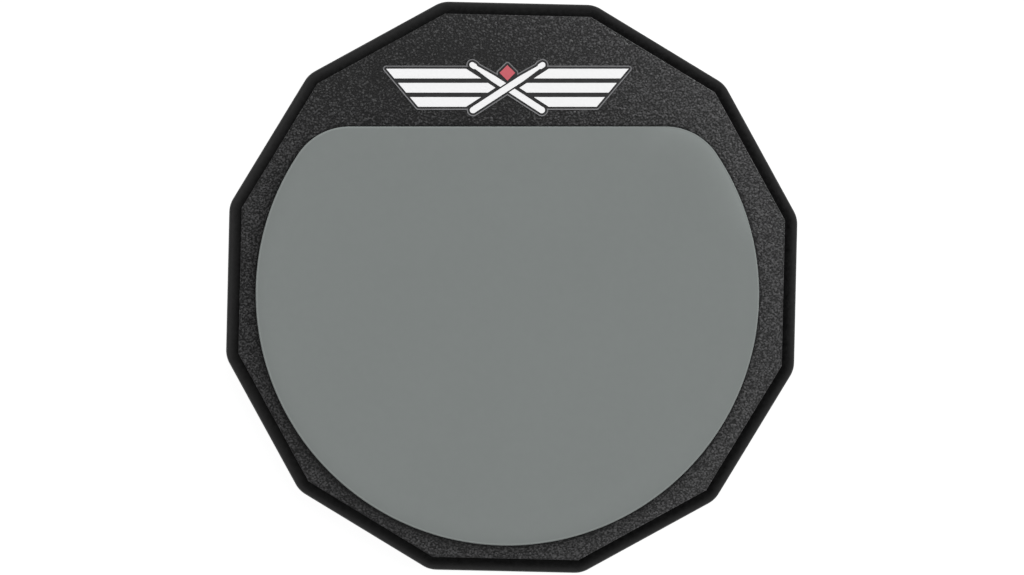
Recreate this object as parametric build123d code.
from build123d import *
import math
import os

# A twelve-sided drum practice pad. A painted fibreboard base carries a thin textured face sheet and,
# on top of it, a grey gum-rubber playing surface that is round with one flat side. A printed emblem
# lies on the face sheet beside that flat side, and a non-slip rubber sheet covers the underside.
# Frame: +Z up, origin under the middle of the base at the level it rests on. Four of the base's
# flats face +X, -X, +Y and -Y, and the emblem is on the +Y side. Millimetres and degrees.

# Base board and the two sheets that follow its outline. The face sheet lies a hair towards +Y.
SIDES = 12
ACROSS_FLATS = 304.8
CORNER_RADIUS = 14.5
EDGE_ROUND = 6.4
BOARD_THICK = 16.0
FACE_THICK = 0.8
FACE_MARGIN = 0.3
FACE_CORNER_RADIUS = 1.0
FACE_SHIFT = 0.2
BASE_THICK = 3.0
BASE_MARGIN = 1.0
BASE_CORNER_RADIUS = 7.0
BASE_EDGE_ROUND = 0.5

# Playing surface: an arc about SURFACE_CENTRE, cut by a flat side, with rounded corners between.
# It was laid down by hand, so it sits a little off centre and turned by SURFACE_SKEW.
SURFACE_CENTRE = (-2.23, -3.6)
SURFACE_SKEW = 1.3
SURFACE_RADIUS = 134.9
SURFACE_FLAT = 89.7
SURFACE_CORNER_RADIUS = 32.8
SURFACE_THICK = 5.0
SURFACE_EDGE_ROUND = 0.8

# Glue films, set back from the edge of what they hold
GLUE_THICK = 0.2
GLUE_INSET = 0.5

# Emblem: two crossed sticks between a pair of three-bar wings, with a diamond over the crossing
EMBLEM_HEIGHT = 110.5
FILM_THICK = 0.1
FILM_MARGIN = 1.65
PRINT_THICK = 0.1
STICK_ANGLE = 33.0
STICK_BUTT = 22.0
STICK_TIP = 24.0
STICK_WIDTH = 3.4
STICK_NECK_WIDTH = 1.7
STICK_TAPER_START = 9.0
BEAD_LENGTH = 4.4
BEAD_WIDTH = 3.0
STICK_CROSSING_GAP = 0.8
WING_REACH = 65.0
WING_HEIGHT = 20.4
WING_SLANT = 50.0
WING_BAR_GAP = 2.4
WING_STICK_GAP = 1.8
WING_BARS = 3
DIAMOND_RISE = 8.0
DIAMOND_HALF = 4.2

# Heights of the layers, from the underside up
BASE_GLUE_BOTTOM = BASE_THICK
BOARD_BOTTOM = BASE_GLUE_BOTTOM + GLUE_THICK
FACE_GLUE_BOTTOM = BOARD_BOTTOM + BOARD_THICK
FACE_BOTTOM = FACE_GLUE_BOTTOM + GLUE_THICK
FACE_TOP = FACE_BOTTOM + FACE_THICK
SURFACE_BOTTOM = FACE_TOP + GLUE_THICK

# The board's flat top and bottom end where its rounded edges begin
BOARD_FLAT_ACROSS = ACROSS_FLATS - 2 * EDGE_ROUND

# Where the face sheet lies on the board, and where the playing surface and the emblem lie on the sheet
FACE_PLACE = Pos(0, FACE_SHIFT)
SURFACE_PLACE = Pos(*SURFACE_CENTRE) * Rot(Z=SURFACE_SKEW)


def twelve_sided(across_flats, corner_radius):
    """Regular twelve-sided outline with flats facing +X and +Y, its corners rounded if asked."""
    outline = RegularPolygon(across_flats / 2, SIDES, major_radius=False, rotation=180 / SIDES)
    if corner_radius > 0:
        outline = fillet(outline.vertices(), corner_radius)
    return outline


def slab(outline, bottom, thickness):
    """A flat sheet of the given outline, standing on the height bottom."""
    return extrude(Pos(0, 0, bottom) * outline, amount=thickness)


def rim(solid, top):
    """The edges around a slab's flat top (top=True) or flat underside."""
    return solid.faces().sort_by(Axis.Z)[-1 if top else 0].edges()


def base_board():
    """Fibreboard base with its top and bottom edges rounded over."""
    board = slab(twelve_sided(ACROSS_FLATS, CORNER_RADIUS), BOARD_BOTTOM, BOARD_THICK)
    return fillet(rim(board, True) + rim(board, False), EDGE_ROUND)


def face_sheet():
    """Thin sheet over the board's flat top, cut just short of the rounded edge."""
    outline = twelve_sided(BOARD_FLAT_ACROSS - 2 * FACE_MARGIN, FACE_CORNER_RADIUS)
    return slab(FACE_PLACE * outline, FACE_BOTTOM, FACE_THICK)


def face_sheet_adhesive():
    """Glue film between the board and the face sheet."""
    outline = twelve_sided(BOARD_FLAT_ACROSS - 2 * (FACE_MARGIN + GLUE_INSET), 0)
    return slab(FACE_PLACE * outline, FACE_GLUE_BOTTOM, GLUE_THICK)


def non_slip_base():
    """Rubber sheet that the pad rests on, just inside the board's flat underside."""
    outline = twelve_sided(BOARD_FLAT_ACROSS - 2 * BASE_MARGIN, BASE_CORNER_RADIUS)
    sheet = slab(outline, 0, BASE_THICK)
    return fillet(rim(sheet, False), BASE_EDGE_ROUND)


def non_slip_base_adhesive():
    """Glue film between the non-slip sheet and the board."""
    outline = twelve_sided(BOARD_FLAT_ACROSS - 2 * (BASE_MARGIN + GLUE_INSET), BASE_CORNER_RADIUS)
    return slab(outline, BASE_GLUE_BOTTOM, GLUE_THICK)


def surface_outline(inset):
    """Round outline with one flat side towards +Y, shrunk all round by inset."""
    radius = SURFACE_RADIUS - inset
    below_flat = Pos(0, SURFACE_FLAT - inset - radius) * Rectangle(2 * radius, 2 * radius)
    outline = Circle(radius) & below_flat
    return fillet(outline.vertices(), SURFACE_CORNER_RADIUS - inset)


def playing_surface():
    """Gum-rubber sheet that is struck, with a softly rounded top edge."""
    sheet = slab(SURFACE_PLACE * surface_outline(0), SURFACE_BOTTOM, SURFACE_THICK)
    return fillet(rim(sheet, True), SURFACE_EDGE_ROUND)


def playing_surface_adhesive():
    """Glue film between the face sheet and the playing surface."""
    return slab(SURFACE_PLACE * surface_outline(GLUE_INSET), FACE_TOP, GLUE_THICK)


def stick(direction):
    """Silhouette of a drumstick that crosses the emblem's centre, its bead end pointing in direction."""
    neck = STICK_TIP - BEAD_LENGTH / 2
    upper = [
        (-STICK_BUTT, STICK_WIDTH / 2),
        (STICK_TAPER_START, STICK_WIDTH / 2),
        (neck, STICK_NECK_WIDTH / 2),
    ]
    lower = [(x, -y) for x, y in reversed(upper)]
    shaft = make_face(Polyline(*upper, *lower, close=True))
    butt = Pos(-STICK_BUTT, 0) * Circle(STICK_WIDTH / 2)
    bead = Pos(neck, 0) * SlotOverall(BEAD_LENGTH, BEAD_WIDTH)
    return Rot(Z=direction) * (shaft + butt + bead)


def crossed_sticks():
    """Two sticks, the one underneath broken by a narrow gap where the other passes over it."""
    over = stick(STICK_ANGLE)
    under = stick(180 - STICK_ANGLE)
    band_width = STICK_WIDTH + 2 * STICK_CROSSING_GAP
    band = Rot(Z=STICK_ANGLE) * Rectangle(STICK_BUTT, band_width)
    return [over, under - band]


def wing_inner(height):
    """How far out from the emblem's centre a wing starts at a height, clear of the sticks."""
    slope = math.radians(STICK_ANGLE)
    clearance = STICK_WIDTH / 2 + WING_STICK_GAP
    return abs(height) / math.tan(slope) + clearance / math.sin(slope)


def wing_outer(height):
    """How far out a wing reaches at a height, furthest at its top."""
    drop = WING_HEIGHT / 2 - height
    return WING_REACH - drop / math.tan(math.radians(WING_SLANT))


def wing_part(low, high):
    """The right-hand wing between two heights, with slanted ends."""
    heights = [low, 0, high] if low < 0 < high else [low, high]
    inner = [(wing_inner(height), height) for height in heights]
    outer = [(wing_outer(high), high), (wing_outer(low), low)]
    return make_face(Polyline(*inner, *outer, close=True))


def pair(shape):
    """A shape and its mirror image on the other side of the sticks."""
    return [shape, mirror(shape, about=Plane.YZ)]


def wing_bars():
    """Three printed bars on each side of the sticks."""
    bar_height = (WING_HEIGHT - (WING_BARS - 1) * WING_BAR_GAP) / WING_BARS
    bars = []
    for row in range(WING_BARS):
        low = -WING_HEIGHT / 2 + row * (bar_height + WING_BAR_GAP)
        bars += pair(wing_part(low, low + bar_height))
    return bars


def diamond():
    """Square on its point, in the notch above the crossing."""
    side = DIAMOND_HALF * math.sqrt(2)
    return Pos(0, DIAMOND_RISE) * Rot(Z=45) * Rectangle(side, side)


def emblem_layer(shapes, bottom, thickness):
    """The given flat shapes as one thin layer in the emblem's place."""
    place = SURFACE_PLACE * Pos(0, EMBLEM_HEIGHT)
    layer = shapes[0]
    for shape in shapes[1:]:
        layer = layer + shape
    return slab(place * layer, bottom, thickness)


def emblem_film():
    """Clear film under the print, one sheet with an even margin outside the emblem's outline."""
    wings = pair(wing_part(-WING_HEIGHT / 2, WING_HEIGHT / 2))
    shapes = [stick(STICK_ANGLE), stick(180 - STICK_ANGLE), diamond()] + wings
    margins = [offset(shape, FILM_MARGIN, kind=Kind.ARC) for shape in shapes]
    return emblem_layer(margins, FACE_TOP, FILM_THICK)


def emblem_white_print():
    """White ink: the sticks and the wings."""
    return emblem_layer(crossed_sticks() + wing_bars(), FACE_TOP + FILM_THICK, PRINT_THICK)


def emblem_red_print():
    """Red ink: the diamond."""
    return emblem_layer([diamond()], FACE_TOP + FILM_THICK, PRINT_THICK)


PIECES = [
    base_board,
    face_sheet,
    face_sheet_adhesive,
    non_slip_base,
    non_slip_base_adhesive,
    playing_surface,
    playing_surface_adhesive,
    emblem_film,
    emblem_white_print,
    emblem_red_print,
]

os.makedirs("parts", exist_ok=True)
for piece in PIECES:
    export_step(piece(), f"parts/{piece.__name__}.step")
